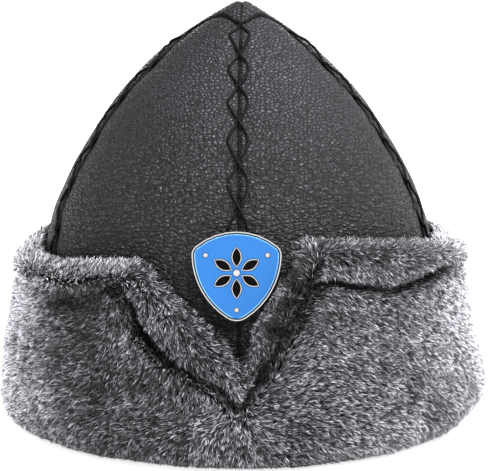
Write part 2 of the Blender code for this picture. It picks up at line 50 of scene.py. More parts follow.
# The camera.
# A long lens from a little above, as a product photographer stands: the hat fills the frame.
eye_elevation = math.radians(10.5)
eye_distance = 1.2
aim = Vector((0.0004, 0.0, 0.0852))
eye = Vector((0.0004, -eye_distance * math.cos(eye_elevation), 0.09 + eye_distance * math.sin(eye_elevation)))
bpy.ops.object.camera_add(location=eye)
camera = bpy.context.object
camera.name = "camera"
camera.rotation_euler = (aim - eye).to_track_quat("-Z", "Y").to_euler()
camera.data.lens = 183
camera.data.clip_start = 0.01
bpy.context.scene.camera = camera


# The light table: a sheet of white acrylic lit softly from below, wide enough to fill the frame from every side.
# Being lit, it keeps the hat's own shadow faint.
def linear(hex_colour):
    """An sRGB hex colour as linear red, green, blue and alpha."""
    values = [int(hex_colour[i:i + 2], 16) / 255 for i in (1, 3, 5)]
    return tuple(v / 12.92 if v <= 0.04045 else ((v + 0.055) / 1.055) ** 2.4 for v in values) + (1.0,)


def fill_inputs(tree, node, inputs):
    """Fills a node's inputs, each with a value or with another node's output."""
    for name, value in inputs.items():
        if isinstance(value, bpy.types.NodeSocket):
            tree.links.new(value, node.inputs[name])
        else:
            node.inputs[name].default_value = value


def add_node(tree, kind, settings=None, inputs=None):
    """Adds a shader node with its settings and inputs."""
    made = tree.nodes.new("ShaderNode" + kind)
    for name, value in (settings or {}).items():
        setattr(made, name, value)
    fill_inputs(tree, made, inputs or {})
    return made


def new_material(name):
    """A material with its node tree, its Principled shader and the place on the object."""
    made = bpy.data.materials.new(name)
    made.use_nodes = True
    place = add_node(made.node_tree, "TexCoord").outputs["Object"]
    return made, made.node_tree, made.node_tree.nodes["Principled BSDF"], place


def two_tone(tree, factor, first, second, ends=(0.0, 1.0)):
    """A colour that runs from the first hex colour to the second as the factor goes from end to end."""
    ramp = add_node(tree, "ValToRGB", inputs={"Fac": factor})
    for element, end, colour in zip(ramp.color_ramp.elements, ends, (first, second)):
        element.position, element.color = end, linear(colour)
    return ramp.outputs["Color"]


# White opal acrylic: a matt, even, faintly mottled white that glows a little.
acrylic, tree, shader, place = new_material("opal_acrylic")
clouds = add_node(tree, "TexNoise", inputs={"Vector": place, "Scale": 3.0, "Detail": 2.0})
fill_inputs(tree, shader, {"Base Color": two_tone(tree, clouds.outputs["Fac"], "#EFEFF0", "#F4F4F5"),
                           "Roughness": 0.75, "Emission Color": linear("#FFFFFF"), "Emission Strength": 0.84})

bpy.ops.mesh.primitive_circle_add(vertices=96, radius=30, fill_type="NGON", location=(0, 0, -0.0002))
table = bpy.context.object
table.name = "light_table"
bpy.ops.object.transform_apply(location=True)
table.data.materials.append(acrylic)


# The studio light: a white tent all round, softboxes above on the right, over the front seam and overhead, two
# rim lights far behind the hat, a small card under the lens that the badge mirrors, and two strip boxes beside
# the hat, flagged off the leather so that they light only the fur.
world = bpy.data.worlds.new("white_tent")
bpy.context.scene.world = world
world.use_nodes = True
background = world.node_tree.nodes["Background"]
fill_inputs(world.node_tree, background, {"Color": linear("#FFFFFF"), "Strength": 0.42})
bpy.context.scene.view_settings.view_transform = "Standard"

# name, azimuth and elevation in degrees seen from the hat, distance, width and height in metres, watts
SOFTBOXES = (
    ("front_softbox", 50, 50, 1.5, 0.7, 0.6, 35),
    ("seam_softbox", 4, 62, 1.5, 0.25, 0.4, 7),
    ("left_rim", -171, 10, 1.2, 0.20, 0.5, 4),
    ("right_rim", 171, 10, 1.2, 0.20, 0.5, 4),
    ("left_strip", -126, 12, 1.2, 0.4, 0.8, 72),
    ("right_strip", 126, 12, 1.2, 0.4, 0.8, 38),
    ("top_softbox", 90, 72, 1.4, 0.9, 0.7, 15),
    ("badge_card", 0, 7, 1.6, 0.36, 0.22, 0.20),
)
fur_flanks = bpy.data.collections.new("lit_by_the_strips")
for name, azimuth, elevation, distance, width, height, watts in SOFTBOXES:
    turn, rise = math.radians(azimuth), math.radians(elevation)
    away = Vector((math.sin(turn) * math.cos(rise), -math.cos(turn) * math.cos(rise), math.sin(rise)))
    bpy.ops.object.light_add(type="AREA", location=away * distance + Vector((0, 0, 0.08)))
    softbox = bpy.context.object
    softbox.name = name
    softbox.rotation_euler = (-away).to_track_quat("-Z", "Y").to_euler()
    softbox.data.shape = "RECTANGLE"
    softbox.data.size, softbox.data.size_y = width, height
    softbox.data.energy = watts
    softbox.data.color = linear("#FDFDFF")[:3]
    if name.endswith("strip"):
        softbox.light_linking.receiver_collection = fur_flanks


# The crown: four gores of pebbled black cowhide, 2.2 mm thick, that meet at an apex a little in front of the
# highest point. Their edges are turned in and drawn together by the lacing, so they dip at the seams and pucker
# at each lacing hole.
LEATHER = 0.0022
SEAM_GAP = 0.0004
APEX_SHIFT = 0.0118
APEX_FADE = 0.0150
CROWN_SHIFT_X = -0.002
LEAN_START = 0.115
LEAN_HEIGHT = 0.0835

# height, half width, half depth
CROWN = np.array((
    (0.0042, 0.0930, 0.0990),
    (0.0400, 0.0934, 0.0994),
    (0.0720, 0.0925, 0.0985),
    (0.0900, 0.0902, 0.0961),
    (0.1100, 0.0834, 0.0891),
    (0.1320, 0.0711, 0.0765),
    (0.1540, 0.0553, 0.0602),
    (0.1720, 0.0372, 0.0410),
    (0.1840, 0.0212, 0.0235),
    (0.1906, 0.0122, 0.0136),
    (0.1948, 0.0068, 0.0075),
    (0.1973, 0.0034, 0.0038),
    (0.1983, 0.0014, 0.0016),
    (0.1985, 0.0003, 0.0003),
))
CROWN_TRAVEL = np.concatenate(((0.0,), np.cumsum(np.hypot(np.diff(CROWN[:, 0]), np.diff(CROWN[:, 1])))))
CROWN_LENGTH = CROWN_TRAVEL[-1]

# distance from the apex, azimuth of the right and left seams in degrees, puff between two seams
GORES = np.array((
    (0.000, 104.0, 104.0, 0.0000),
    (0.006, 113.0, 113.0, 0.0006),
    (0.015, 112.0, 112.0, 0.0015),
    (0.025, 104.0, 104.0, 0.0020),
    (0.035, 93.0, 93.0, 0.0021),
    (0.045, 86.0, 86.0, 0.0021),
    (0.055, 83.0, 83.0, 0.0021),
    (0.070, 81.5, 81.5, 0.0020),
    (0.085, 79.5, 79.5, 0.0020),
    (0.100, 77.5, 76.5, 0.0019),
    (0.124, 76.5, 74.0, 0.0017),
    (0.145, 76.5, 71.5, 0.0015),
    (0.163, 76.5, 70.5, 0.0012),
    (0.195, 76.5, 70.0, 0.0008),
    (0.231, 76.5, 70.0, 0.0003),
))


def rows_at(table, stations, places):
    """Rows of a table at these places along its stations, smooth from row to row."""
    places = np.clip(places, stations[0], stations[-1])
    count = len(stations)
    i = np.clip(np.searchsorted(stations, places, side="right") - 1, 0, count - 2)
    before, after = np.maximum(np.arange(count) - 1, 0), np.minimum(np.arange(count) + 1, count - 1)
    slopes = (table[after] - table[before]) / (stations[after] - stations[before])[:, None]
    span = (stations[i + 1] - stations[i])[:, None]
    t = (places - stations[i])[:, None] / span
    t2, t3 = t * t, t * t * t
    return (table[i] * (2 * t3 - 3 * t2 + 1) + slopes[i] * span * (t3 - 2 * t2 + t)
            + table[i + 1] * (3 * t2 - 2 * t3) + slopes[i + 1] * span * (t3 - t2))


def crown_base(azimuth, travel):
    """Points of the upright crown without its puffs, by azimuth and the way up its side."""
    section = rows_at(CROWN, CROWN_TRAVEL, travel)
    return np.stack((section[:, 1] * np.sin(azimuth), -section[:, 2] * np.cos(azimuth), section[:, 0]), 1)


def unit(vectors):
    """The vectors at length 1."""
    return vectors / np.maximum(np.linalg.norm(vectors, axis=-1, keepdims=True), 1e-12)


def crown_normal(azimuth, travel):
    """Outward directions of the upright crown."""
    low, high = np.maximum(travel - 0.0005, 0), np.minimum(travel + 0.0005, CROWN_LENGTH)
    upward = crown_base(azimuth, high) - crown_base(azimuth, low)
    sideways = crown_base(azimuth + 0.009, travel) - crown_base(azimuth - 0.009, travel)
    return unit(np.cross(sideways, upward))


def seam_azimuths(distance):
    """Azimuths of the front, right, back and left seams and of the front seam again, round the apex."""
    stations = rows_at(GORES, GORES[:, 0], distance)
    right, left = np.radians(stations[:, 1]), np.radians(stations[:, 2])
    return right * 0, right, right * 0 + math.pi, 2 * math.pi - left, right * 0 + 2 * math.pi


def crown_point(azimuth, distance, set_off):
    """Points set off from the crown's outer face, by azimuth and distance from the apex."""
    stations = rows_at(GORES, GORES[:, 0], distance)
    folded = azimuth % (2 * math.pi)
    side = np.radians(np.where(folded < math.pi, stations[:, 1], stations[:, 2]))
    folded = np.minimum(folded, 2 * math.pi - folded)
    in_front = folded < side
    across = np.where(in_front, 2 * folded / side - 1, 2 * (folded - side) / (math.pi - side) - 1)
    puff = stations[:, 3] * (1 - np.abs(across) ** 5)
    aside = distance * np.sin(azimuth)
    ahead = distance * np.cos(azimuth) + APEX_SHIFT * np.exp(-(distance / APEX_FADE) ** 2)
    place = np.arctan2(aside, ahead), CROWN_LENGTH - np.hypot(aside, ahead)
    placed = crown_base(*place) + crown_normal(*place) * (puff + set_off)[:, None]
    # the soft tip leans towards the front, and a little to the side
    share = np.maximum(placed[:, 2] - LEAN_START, 0) / LEAN_HEIGHT
    lean = 0.008 * share ** 3
    tilt = 0.024 * share ** 2 / LEAN_HEIGHT
    x = placed[:, 0] + 0.0014 * share ** 6 + CROWN_SHIFT_X
    return np.stack((x, placed[:, 1] - lean, placed[:, 2] + placed[:, 1] * tilt), 1)


def turn_radius(azimuth, distance):
    """Distance moved sideways on the crown per radian of azimuth."""
    flat = np.zeros(len(distance))
    step = crown_point(azimuth + 0.01, distance, flat) - crown_point(azimuth - 0.01, distance, flat)
    return np.linalg.norm(step, axis=1) / 0.02


def lattice_random(cells, seed):
    """A number from 0 to 1 for each whole-number cell, the same each run."""
    x, y, z = (cells[:, i].astype(np.uint64) for i in range(3))
    mixed = (x * np.uint64(73856093)) ^ (y * np.uint64(19349663)) ^ (z * np.uint64(83492791))
    mixed = mixed + np.uint64(seed * 2654435761 % 2 ** 31)
    mixed = (mixed ^ (mixed >> np.uint64(13))) * np.uint64(1274126177)
    mixed = mixed & np.uint64(0xFFFFFFFF)
    mixed = (mixed ^ (mixed >> np.uint64(16))) * np.uint64(2246822519)
    mixed = mixed & np.uint64(0xFFFFFFFF)
    return ((mixed ^ (mixed >> np.uint64(15))) & np.uint64(0xFFFFFF)).astype(float) / 0xFFFFFF


def soft_noise(points, size, seed):
    """Smooth noise from -1 to 1 whose hills are about this size, in metres."""
    scaled = points / size + 4096.0
    cell = np.floor(scaled)
    part = scaled - cell
    part = part * part * (3 - 2 * part)
    total = np.zeros(len(points))
    for corner in range(8):
        step = np.array((corner & 1, corner >> 1 & 1, corner >> 2 & 1))
        weight = np.prod(np.where(step, part, 1 - part), axis=1)
        total += weight * lattice_random(cell + step, seed)
    return 2 * total - 1


# Distances from the apex at which the two laces of a seam cross.
CROSSINGS = np.array((0.0, 0.0298, 0.0500, 0.0722, 0.0964, 0.1188, 0.1410, 0.1630, 0.1850, 0.2070))
LACE_REACH_LEFT = 0.0051
LACE_REACH_RIGHT = 0.0041
POST_HEIGHT = 0.0852
POST_DISTANCE = CROWN_LENGTH - float(np.interp(POST_HEIGHT, CROWN[:, 0], CROWN_TRAVEL))

GORE_COLUMNS = 52
GORE_ROWS = 112
# how far a gore's edge is turned in, puckers between two holes and sinks at a hole, and a hole's radius
TURNED_IN = 0.0009
PUCKER = 0.0005
HOLE_DEPTH = 0.0009
HOLE_RADIUS = 0.0009


def lace_station(distance):
    """How many crossings lie nearer the apex, and the part of the way to the next one."""
    return np.interp(distance, CROSSINGS, np.arange(len(CROSSINGS)))


def add_grid(name, columns, rows):
    """A flat grid, and the place of each vertex on it, from 0 to 1 across and up."""
    bpy.ops.mesh.primitive_grid_add(x_subdivisions=columns, y_subdivisions=rows, size=1)
    grid = bpy.context.object
    grid.name = name
    places = np.empty(len(grid.data.vertices) * 3, np.float32)
    grid.data.vertices.foreach_get("co", places)
    return grid, places.reshape(-1, 3).astype(float) + 0.5


def map_range(tree, value, low, high, first=0.0, last=1.0, kind="LINEAR"):
    """The value, moved from the range low to high to the range first to last and kept inside it."""
    return add_node(tree, "MapRange", {"interpolation_type": kind}, {
        "Value": value, "From Min": low, "From Max": high, "To Min": first, "To Max": last}).outputs[0]


def maths(tree, operation, *terms):
    """The outcome of an operation on these terms."""
    return add_node(tree, "Math", {"operation": operation}, dict(enumerate(terms))).outputs[0]


# Cowhide, drum dyed and embossed with a pebble grain 2.2 mm wide and 1.3 mm high: near black and half matt, with
# its grain's grooves and its creases painted black as painted shade. Low down it creases sideways every 2 mm where
# the crown is bent over the head.
cowhide, tree, shader, place = new_material("pebbled_black_cowhide")
drift = add_node(tree, "TexNoise", inputs={"Vector": place, "Scale": 160.0, "Detail": 2.0})
drifted = add_node(tree, "VectorMath", {"operation": "MULTIPLY_ADD"},
                   {0: drift.outputs["Color"], 1: (0.0014, 0.0014, 0.0014), 2: place}).outputs[0]
flattened = add_node(tree, "Mapping", inputs={"Vector": drifted, "Scale": (0.78, 0.78, 1.30)}).outputs[0]
pebbles = add_node(tree, "TexVoronoi", {"feature": "DISTANCE_TO_EDGE"},
                   {"Vector": flattened, "Scale": 1 / 0.0017, "Randomness": 0.8}).outputs["Distance"]
groove_side = map_range(tree, pebbles, 0.03, 0.24, kind="SMOOTHSTEP")
pebble_rise = maths(tree, "POWER", map_range(tree, pebbles, 0.0, 0.42), 0.6)
pores = add_node(tree, "TexVoronoi", {"feature": "SMOOTH_F1"}, {"Vector": flattened, "Scale": 1 / 0.0007})
streaks = add_node(tree, "Mapping", inputs={"Vector": drifted, "Scale": (0.36, 0.36, 1.0)})
creases = add_node(tree, "TexVoronoi", {"feature": "DISTANCE_TO_EDGE"},
                   {"Vector": streaks.outputs[0], "Scale": 1 / 0.0022, "Randomness": 0.9})
crease_sink = map_range(tree, creases.outputs["Distance"], 0.0, 0.21, 1.0, 0.0, "SMOOTHSTEP")
height = add_node(tree, "SeparateXYZ", inputs={"Vector": place}).outputs["Z"]
creased = maths(tree, "MULTIPLY", crease_sink, map_range(tree, height, 0.160, 0.122))
relief = maths(tree, "MULTIPLY_ADD", creased, -1.6, pebble_rise)
relief = maths(tree, "MULTIPLY_ADD", pores.outputs["Distance"], 0.25, relief)
bump = add_node(tree, "Bump", inputs={"Strength": 1.0, "Distance": 0.00060, "Height": relief})
dye = add_node(tree, "TexNoise", inputs={"Vector": place, "Scale": 45.0, "Detail": 3.0})
dyed = two_tone(tree, dye.outputs["Fac"], "#29292D", "#323237", (0.3, 0.7))
# painted shade: the grooves between the pebbles and the sideways creases are mixed to near black
unshaded_grain = maths(tree, "MULTIPLY_ADD", creased, -1.0, groove_side)
in_crease = add_node(tree, "Mix", {"data_type": "RGBA"}, {"Factor": unshaded_grain, 6: linear("#040405"), 7: dyed})
# the seams' black edge dye together with painted shade in their grooves and at the lacing holes
seam_shade = add_node(tree, "Attribute", {"attribute_name": "seam_dye_and_shade"})
at_seam = add_node(tree, "Mix", {"data_type": "RGBA"},
                   {"Factor": seam_shade.outputs["Fac"], 6: in_crease.outputs[2], 7: linear("#060607")})
fill_inputs(tree, shader, {"Base Color": at_seam.outputs[2], "Normal": bump.outputs[0], "Specular IOR Level": 0.40,
                           "Roughness": map_range(tree, groove_side, 0.0, 1.0, 0.80, 0.42)})

for number, corner in enumerate(("front_right", "back_right", "back_left", "front_left")):
    gore, flat = add_grid(f"leather_gore_{corner}", GORE_COLUMNS, GORE_ROWS)
    count = len(flat)
    # columns crowd towards both seams, and rows towards the apex
    across = flat[:, 0] - np.sin(2 * math.pi * flat[:, 0]) * 0.13
    distance = 0.0006 + (CROWN_LENGTH - 0.0006) * (1 - flat[:, 1]) ** 1.35
    seams = seam_azimuths(distance)
    at_post = np.exp(-((distance - POST_DISTANCE) / 0.0022) ** 2)
    start_gap = SEAM_GAP / 2 + (0.0008 * at_post if corner == "front_right" else 0)
    end_gap = SEAM_GAP / 2 + (0.0026 * at_post if corner == "front_left" else 0)
    start = seams[number] + start_gap / turn_radius(seams[number], distance)
    end = seams[number + 1] - end_gap / turn_radius(seams[number + 1], distance)
    azimuth = start + across * (end - start)
    radius = turn_radius(azimuth, distance)
    from_start, from_end = across * (end - start) * radius, (1 - across) * (end - start) * radius
    from_seam = np.minimum(from_start, from_end)
    phase = lace_station(distance) % 1.0
    # the left-hand side of a seam is a gore's end, the right-hand side its start
    reach = np.where(from_start < from_end, LACE_REACH_RIGHT, LACE_REACH_LEFT)
    # only the front seam is open near the apex, and the three others are drawn tight there
    nearer_seam = np.where(from_start < from_end, number, (number + 1) % 4)
    open_seam = np.clip((distance - np.where(nearer_seam == 0, 0.010, 0.026)) / 0.010, 0, 1)
    turned_in = -TURNED_IN * np.exp(-(from_seam / 0.0008) ** 2) * np.clip((distance - 0.012) / 0.012, 0.15, 1)
    tight = np.cos(2 * math.pi * phase)
    puckered = -PUCKER * tight * np.exp(-((from_seam - 0.0022) / 0.0035) ** 2) * open_seam
    hole = np.exp(-((from_seam - reach) / HOLE_RADIUS) ** 2) * np.exp(-((phase - 0.5) * 0.021 / 0.0010) ** 2)
    hole = hole * open_seam
    base = crown_point(azimuth, distance, np.zeros(count))
    waves = 0.0005 * soft_noise(base, 0.028, 3) + 0.00025 * soft_noise(base, 0.010, 5)
    slack = np.clip((0.128 - base[:, 2]) / 0.035, 0, 1)
    folds = 0.00030 * slack * soft_noise(base * np.array((0.24, 0.24, 1.0)), 0.0034, 9)
    fade = np.clip(from_seam / 0.004, 0, 1) * np.clip(distance / 0.03, 0, 1)
    set_off = turned_in + puckered - HOLE_DEPTH * hole + (waves + folds) * fade
    placed = crown_point(azimuth, distance, set_off)
    gore.data.vertices.foreach_set("co", placed.astype(np.float32).ravel())
    # dark edge dye, 2.2 mm wide on the side seams and 0.5 mm on the others, with painted shade in the seams'
    # grooves and at the lacing holes
    dye_and_shade_width = np.where((nearer_seam % 2 == 1) & (distance > 0.02), 0.0022, 0.0005)
    shade = np.clip(np.exp(-(from_seam / dye_and_shade_width) ** 2) + hole, 0, 1)
    stored = gore.data.attributes.new("seam_dye_and_shade", "FLOAT", "POINT")
    stored.data.foreach_set("value", shade.astype(np.float32))
    middle = gore.data.polygons[len(gore.data.polygons) // 2]
    if middle.normal.dot(middle.center) < 0:
        gore.data.flip_normals()
    bpy.ops.object.modifier_add(type="SOLIDIFY")
    gore.modifiers[-1].thickness = LEATHER
    gore.modifiers[-1].offset = -1
    bpy.ops.object.modifier_apply(modifier=gore.modifiers[-1].name)
    bpy.ops.object.shade_smooth_by_angle(angle=math.radians(50))
    gore.data.materials.append(cowhide)
    bpy.ops.object.select_all(action="DESELECT")
    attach(gore, "root")
    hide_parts(f"crown_gore_{corner}")


# Each seam has a waxed thread down its middle and two round laces, 1.3 mm thick, that cross over it every 20 to
# 30 mm and pass through holes 5.1 mm to its left and 4.1 mm to its right. They are black waxed cotton.
LACE_RADIUS = 0.00064
THREAD_RADIUS = 0.00032

# Waxed, twisted cotton: black with a dull shine, its strands showing as fine slanting lines 0.8 mm apart.
cotton, tree, shader, place = new_material("waxed_black_cotton")
slanted = add_node(tree, "Mapping", inputs={"Vector": place, "Rotation": (0.6, 0.5, 0.7)})
strands = add_node(tree, "TexWave", {"wave_type": "BANDS"},
                   {"Vector": slanted.outputs[0], "Scale": 1 / 0.0008 / 3.14, "Distortion": 1.2, "Detail": 1.0})
bump = add_node(tree, "Bump",
                inputs={"Strength": 0.8, "Distance": 0.0001, "Height": strands.outputs["Fac"]})
fill_inputs(tree, shader, {"Base Color": two_tone(tree, strands.outputs["Fac"], "#020203", "#070709"),
                           "Normal": bump.outputs[0], "Roughness": 0.60, "Specular IOR Level": 0.12})


def lay_cord(name, points, radius):
    """A round cord through these points, made a mesh."""
    curve = bpy.data.curves.new(name, "CURVE")
    curve.dimensions = "3D"
    curve.bevel_depth = radius
    curve.bevel_resolution = 1
    curve.use_fill_caps = True
    spline = curve.splines.new("POLY")
    spline.points.add(len(points) - 1)
    spline.points.foreach_set("co", np.column_stack((points, np.ones(len(points)))).ravel())
    cord = bpy.data.objects.new(name, curve)
    bpy.context.scene.collection.objects.link(cord)
    bpy.context.view_layer.objects.active = cord
    cord.select_set(True)
    bpy.ops.object.convert(target="MESH")
    bpy.ops.object.shade_smooth()
    cord.data.materials.append(cotton)
    bpy.ops.object.select_all(action="DESELECT")
    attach(cord, "root")


THREAD_STATIONS = 240
LACE_STATIONS = 280
for number, seam in enumerate(("front", "right", "back", "left")):
    distance = np.linspace(0.0005, CROWN_LENGTH - 0.002, THREAD_STATIONS)
    middle = seam_azimuths(distance)[number]
    course = crown_point(middle, distance, np.full(THREAD_STATIONS, -0.0002))
    lay_cord(f"seam_thread_{seam}", course, THREAD_RADIUS)
    # the front laces end behind the badge, and those of the back begin behind the tip
    first, last = {"front": (0.0010, 0.1630), "back": (0.0150, CROSSINGS[-1])}.get(seam, (0.0010, CROSSINGS[-1]))
    for lace in (0, 1):
        distance = np.linspace(first, last, LACE_STATIONS)
        middle = seam_azimuths(distance)[number]
        stations = lace_station(distance)
        phase = stations % 1.0
        near_hole = np.exp(-((phase - 0.5) / 0.05) ** 2)
        side = np.where((np.floor(stations) + lace) % 2 == 0, 1.0, -1.0)
        pointed = 1 - np.abs(2 * phase - 1) ** 1.15
        rounded = np.sin(math.pi * phase)
        bow = np.where(side < 0, pointed * LACE_REACH_LEFT, rounded * LACE_REACH_RIGHT)
        # on the right seam the lace is pulled to a spur where it enters its hole
        spur = 0.0030 if seam == "right" else 0.0
        bow += np.where(side < 0, spur * near_hole, 0)
        room = 1.0 if seam == "front" else np.clip((distance - 0.018) / 0.014, 0.12, 1)
        near_crossing = np.minimum(phase, 1 - phase)
        on_top = (np.round(stations) + lace) % 2 == 0
        lift = LACE_RADIUS * 0.5 + np.where(on_top, LACE_RADIUS * 1.9, 0) * np.exp(-(near_crossing / 0.10) ** 2)
        lift -= 0.0009 * near_hole * np.where(side < 0, 1, 0.4) * room
        # the laces of the side seams are slacker, and stand off the leather on their way to the back
        to_back = {"right": 1, "left": -1}.get(seam, 0) * side > 0
        lift += 0.0010 * to_back * rounded * room
        course = crown_point(middle + side * bow * room / turn_radius(middle, distance), distance, lift)
        lay_cord(f"lace_{seam}_{lace + 1}", course, LACE_RADIUS)


# The cuff's skin: the backing of the fur, dark knitted cloth over a soft filling, folded up round the crown, sewn
# down along a crease below its rolled edge, and lower at the front where it opens in a V.
# an azimuth in radians times ROUND_RADIUS is a distance along the cuff laid flat
ROUND_RADIUS = 0.100
ROLL_RADIUS = 0.0085
EDGE_THICKNESS = 0.0020
INNER_GAP = 0.0005
PILE = 0.0026

# height, outer half width on the left, on the right, half depth
CUFF = np.array((
    (0.000, 0.1105, 0.1045, 0.1118),
    (0.003, 0.1146, 0.1102, 0.1168),
    (0.007, 0.1166, 0.1142, 0.1205),
    (0.014, 0.1174, 0.1170, 0.1226),
    (0.022, 0.1174, 0.1170, 0.1223),
    (0.034, 0.1160, 0.1142, 0.1198),
    (0.050, 0.1130, 0.1108, 0.1168),
    (0.066, 0.1106, 0.1084, 0.1146),
    (0.110, 0.1076, 0.1064, 0.1132),
))

# azimuth in degrees from the front seam, and height of the upper edge away from the V
EDGE = np.array((
    (-180, 0.0845), (-120, 0.0825), (-85, 0.0810), (-62, 0.0832), (-36, 0.0900), (-15, 0.0960),
    (8, 0.1020), (22, 0.1015), (50, 0.0960), (78, 0.0876), (105, 0.0840), (180, 0.0845),
))
V_BOTTOM = 0.046
V_LEFT_RISE = 0.00160
V_LEFT_LIFT = 0.0026
V_RIGHT_RISE = 0.00335
V_ROUNDING = 0.003

# The sewn crease: azimuth, height, depth, half width, and how dark the shadow at its bottom is, from 0 to 1
CREASE = np.array((
    (-180, 0.0670, 0.0035, 0.0030, 0.55),
    (-105, 0.0670, 0.0035, 0.0030, 0.55),
    (-75, 0.0690, 0.0018, 0.0034, 0.45),
    (-60, 0.0718, 0.0014, 0.0040, 0.35),
    (-50, 0.0716, 0.0017, 0.0044, 0.42),
    (-42, 0.0736, 0.0022, 0.0044, 0.48),
    (-34.4, 0.0788, 0.0036, 0.0034, 0.60),
    (-30.9, 0.0797, 0.0046, 0.0024, 0.80),
    (-27.7, 0.0728, 0.0062, 0.0023, 0.94),
    (-25.6, 0.0639, 0.0066, 0.0021, 0.97),
    (-21.7, 0.0569, 0.0058, 0.0018, 0.90),
    (-16.6, 0.0487, 0.0038, 0.0015, 0.62),
    (-10.2, 0.0430, 0.0032, 0.0016, 0.55),
    (-6.2, 0.0393, 0.0046, 0.0018, 0.80),
    (-3.8, 0.0357, 0.0045, 0.0020, 0.78),
    (-1.3, 0.0294, 0.0046, 0.0018, 0.84),
    (1.0, 0.0356, 0.0050, 0.0018, 0.88),
    (4.0, 0.0428, 0.0050, 0.0018, 0.90),
    (6.9, 0.0505, 0.0044, 0.0017, 0.84),
    (9.2, 0.0577, 0.0038, 0.0016, 0.78),
    (11.7, 0.0663, 0.0036, 0.0015, 0.74),
    (13.8, 0.0751, 0.0040, 0.0016, 0.78),
    (15.4, 0.0807, 0.0044, 0.0017, 0.80),
    (18.6, 0.0837, 0.0055, 0.0016, 0.92),
    (22.0, 0.0842, 0.0060, 0.0016, 0.96),
    (26.2, 0.0815, 0.0060, 0.0017, 0.96),
    (33.6, 0.0790, 0.0056, 0.0018, 0.85),
    (37.4, 0.0768, 0.0052, 0.0019, 0.72),
    (41.6, 0.0766, 0.0050, 0.0019, 0.72),
    (47.5, 0.0777, 0.0052, 0.0018, 0.82),
    (52.4, 0.0793, 0.0055, 0.0018, 0.90),
    (57.4, 0.0812, 0.0050, 0.0020, 0.85),
    (67.2, 0.0796, 0.0026, 0.0024, 0.65),
    (76.3, 0.0757, 0.0014, 0.0028, 0.60),
    (105, 0.0680, 0.0035, 0.0030, 0.55),
    (180, 0.0670, 0.0035, 0.0030, 0.55),
))

# Dents and ridges in the filling: azimuth, height, reach sideways, reach upwards, depth inwards, and painted shade
# in the strands' tone (negative: painted light on a ridge)
DENTS = np.array((
    (12.6, 0.0872, 0.0046, 0.0070, 0.0034, 0.88),
    (12.8, 0.0812, 0.0024, 0.0036, 0.0016, 0.55),
    (10.2, 0.0728, 0.0038, 0.0056, 0.0030, 0.84),
    (7.6, 0.0630, 0.0038, 0.0054, 0.0030, 0.84),
    (41.4, 0.0302, 0.0030, 0.0040, 0.0022, 0.45),
    (46.5, 0.0170, 0.0060, 0.0022, 0.0024, 0.45),
    (13.4, 0.0950, 0.0036, 0.0046, 0.0010, 0.60),
    (27.0, 0.0530, 0.0022, 0.0040, 0.0014, 0.35),
    (34.2, 0.0427, 0.0026, 0.0034, 0.0012, 0.25),
    (-21.7, 0.0240, 0.0070, 0.0022, 0.0022, 0.45),
    (-34.7, 0.0284, 0.0024, 0.0034, 0.0016, 0.35),
    (-47.0, 0.0676, 0.0120, 0.0046, 0.0020, 0.48),
    (-38.0, 0.0700, 0.0110, 0.0046, 0.0016, 0.48),
    (-45.0, 0.0612, 0.0150, 0.0020, -0.0014, -0.75),
    (-46.0, 0.0580, 0.0120, 0.0016, 0.0012, 0.30),
    (-38.5, 0.0490, 0.0110, 0.0100, 0.0004, 0.34),
    (-31.5, 0.0330, 0.0100, 0.0080, 0.0004, 0.30),
    (8.0, 0.0105, 0.0100, 0.0020, 0.0014, 0.25),
    (-14.0, 0.0090, 0.0040, 0.0030, 0.0016, 0.30),
    (-70.0, 0.0420, 0.0030, 0.0120, 0.0014, 0.20),
    (-100.0, 0.0300, 0.0080, 0.0026, 0.0018, 0.30),
    (-130.0, 0.0480, 0.0030, 0.0090, 0.0018, 0.30),
    (-158.0, 0.0260, 0.0090, 0.0026, 0.0020, 0.30),
    (172.0, 0.0500, 0.0030, 0.0080, 0.0018, 0.30),
    (142.0, 0.0280, 0.0080, 0.0030, 0.0020, 0.30),
    (112.0, 0.0440, 0.0030, 0.0080, 0.0018, 0.30),
    (88.0, 0.0240, 0.0070, 0.0026, 0.0018, 0.25),
))


def soft_least(a, b, rounding):
    """The lesser of two values, rounded where one takes over from the other."""
    return (a + b - np.sqrt((a - b) ** 2 + rounding ** 2)) / 2


def edge_height(degrees):
    """Height of the cuff's upper edge."""
    level = rows_at(EDGE[:, 1:], EDGE[:, 0], degrees)[:, 0]
    left, right = V_BOTTOM + V_LEFT_LIFT - degrees * V_LEFT_RISE, V_BOTTOM + degrees * V_RIGHT_RISE
    return soft_least(level, -soft_least(-left, -right, V_ROUNDING), V_ROUNDING)


edge_degrees = np.linspace(-180, 180, 721)
edge_line = np.stack((np.radians(edge_degrees) * ROUND_RADIUS, edge_height(edge_degrees)), 1)
crease_parts = []
for start, end in zip(CREASE[:-1], CREASE[1:]):
    steps = max(int(math.hypot(math.radians(end[0] - start[0]) * ROUND_RADIUS, end[1] - start[1]) / 0.0008), 2)
    crease_parts.append(start + (end - start) * (np.arange(steps) / steps)[:, None])
crease_line = np.concatenate(crease_parts)


def nearest_on(line, along, heights):
    """Index of the line's nearest point, and the distance, on the cuff laid flat."""
    index, distance = np.empty(len(along), int), np.empty(len(along))
    for start in range(0, len(along), 20000):
        part = slice(start, start + 20000)
        square = (along[part, None] - line[:, 0]) ** 2 + (heights[part, None] - line[:, 1]) ** 2
        index[part] = square.argmin(1)
        distance[part] = np.sqrt(square.min(1))
    return index, distance


crease_flat = np.stack((np.radians(crease_line[:, 0]) * ROUND_RADIUS, crease_line[:, 1]), 1)


def crease_share(along, heights):
    """How deep in the crease a point lies, from 0 to 1, with the crease's own row there."""
    index, distance = nearest_on(crease_flat, along, heights)
    row = crease_line[index]
    return np.exp(-(distance / row[:, 3]) ** 2), row


